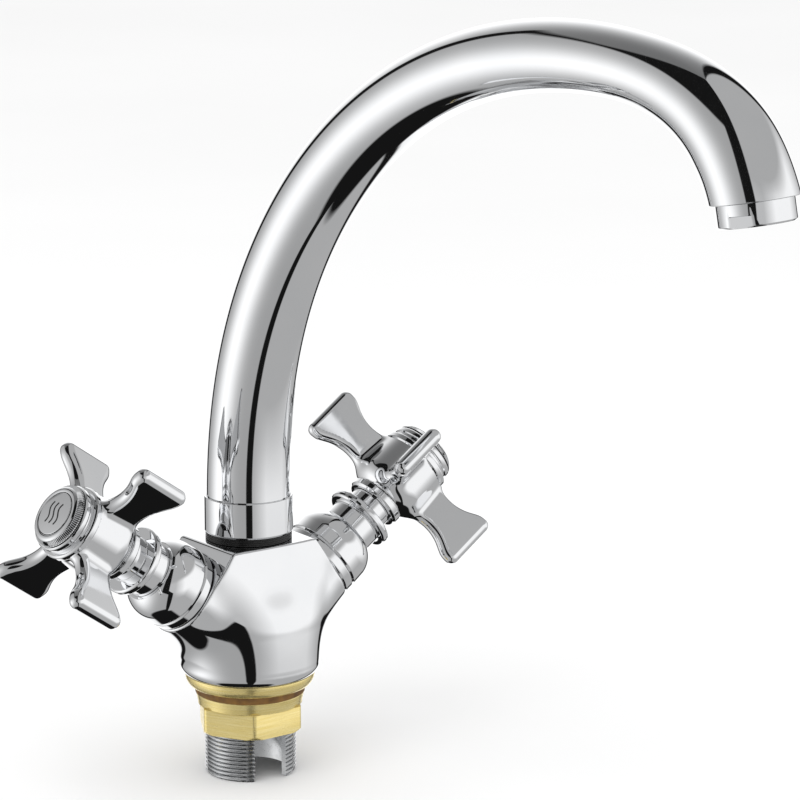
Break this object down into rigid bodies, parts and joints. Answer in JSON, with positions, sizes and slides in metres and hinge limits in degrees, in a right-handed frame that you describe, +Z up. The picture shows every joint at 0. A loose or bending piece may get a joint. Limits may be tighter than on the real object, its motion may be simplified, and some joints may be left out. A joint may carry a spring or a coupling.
{
  "type": "kitchen mixer tap",
  "caption": "Two-handle chrome kitchen mixer tap with a tall swivelling arched spout, cross handles, aerator and a brass nut on a slotted threaded shank",
  "frame": {"origin": "centre of the base ring's underside, where the tap sits on the deck", "axes": "+Z is up along the shank and the spout's turning axis, -Y is the front, the hot valve is at -X and the cold valve at +X"},
  "size_m": [0.1834, 0.2658, 0.2863],
  "materials": {
    "polished_chrome": "mirror polished chrome plate",
    "machined_brass": "machined, unplated",
    "satin_metal": "plated thread, slightly satin",
    "bright_steel": "plain stainless",
    "black_rubber": "smooth",
    "brown_rubber": "smooth, matte",
    "ceramic_discs": "lapped",
    "white_plastic": "moulded"
  },
  "bodies": {
    "mixer": {"mixer_body": "polished_chrome", "base_ring": "machined_brass", "threaded_shank": "satin_metal", "collar_nut": "polished_chrome", "collar_seals": "black_rubber", "hot_valve_housing": "machined_brass", "hot_housing_seal": "black_rubber", "hot_seat_rubber": "black_rubber", "hot_fixed_disc": "ceramic_discs", "hot_band_ring": "polished_chrome", "hot_bell": "polished_chrome", "hot_neck_flange": "polished_chrome", "cold_valve_housing": "machined_brass", "cold_housing_seal": "black_rubber", "cold_seat_rubber": "black_rubber", "cold_fixed_disc": "ceramic_discs", "cold_band_ring": "polished_chrome", "cold_bell": "polished_chrome", "cold_neck_flange": "polished_chrome"},
    "spout": {"spout_tube": "polished_chrome", "spout_tail": "machined_brass", "spout_o_rings": "black_rubber", "slip_ring": "white_plastic", "aerator_housing": "polished_chrome", "aerator_insert": "white_plastic", "aerator_washer": "black_rubber"},
    "hot_handle": {"hot_cross_handle": "polished_chrome", "hot_cap_ring": "polished_chrome", "hot_index_disc": "polished_chrome", "hot_handle_screw": "bright_steel", "hot_spindle": "machined_brass", "hot_moving_disc": "ceramic_discs", "hot_spindle_clip": "bright_steel", "hot_spindle_seal": "black_rubber"},
    "cold_handle": {"cold_cross_handle": "polished_chrome", "cold_cap_ring": "polished_chrome", "cold_index_disc": "polished_chrome", "cold_handle_screw": "bright_steel", "cold_spindle": "machined_brass", "cold_moving_disc": "ceramic_discs", "cold_spindle_clip": "bright_steel", "cold_spindle_seal": "black_rubber"},
    "washer": {"deck_washer": "brown_rubber"},
    "nut": {"mounting_nut": "machined_brass"}
  },
  "joints": [
    {"name": "spout_swivel", "type": "hinge", "parent": "mixer", "child": "spout", "pos_m": [0, 0, 0.07], "axis": [0, 0, 1], "continuous": true},
    {"name": "hot_handle_turn", "type": "hinge", "parent": "mixer", "child": "hot_handle", "pos_m": [0, 0, 0.0185], "axis": [-0.8192, 0, 0.5736], "range_deg": [0, 180]},
    {"name": "cold_handle_turn", "type": "hinge", "parent": "mixer", "child": "cold_handle", "pos_m": [0, 0, 0.0185], "axis": [0.8192, 0, 0.5736], "range_deg": [0, 180]},
    {"name": "washer_slide", "type": "slide", "parent": "mixer", "child": "washer", "axis": [0, 0, -1], "range_m": [0, 0.016]},
    {"name": "nut_turn", "type": "hinge", "parent": "washer", "child": "nut", "pos_m": [0, 0, -0.01], "axis": [0, 0, -1], "range_deg": [0, 3830]}
  ],
  "couplings": [
    {"joint": "washer_slide", "follows": "nut_turn", "m_per_rad": 0.00023873}
  ]
}
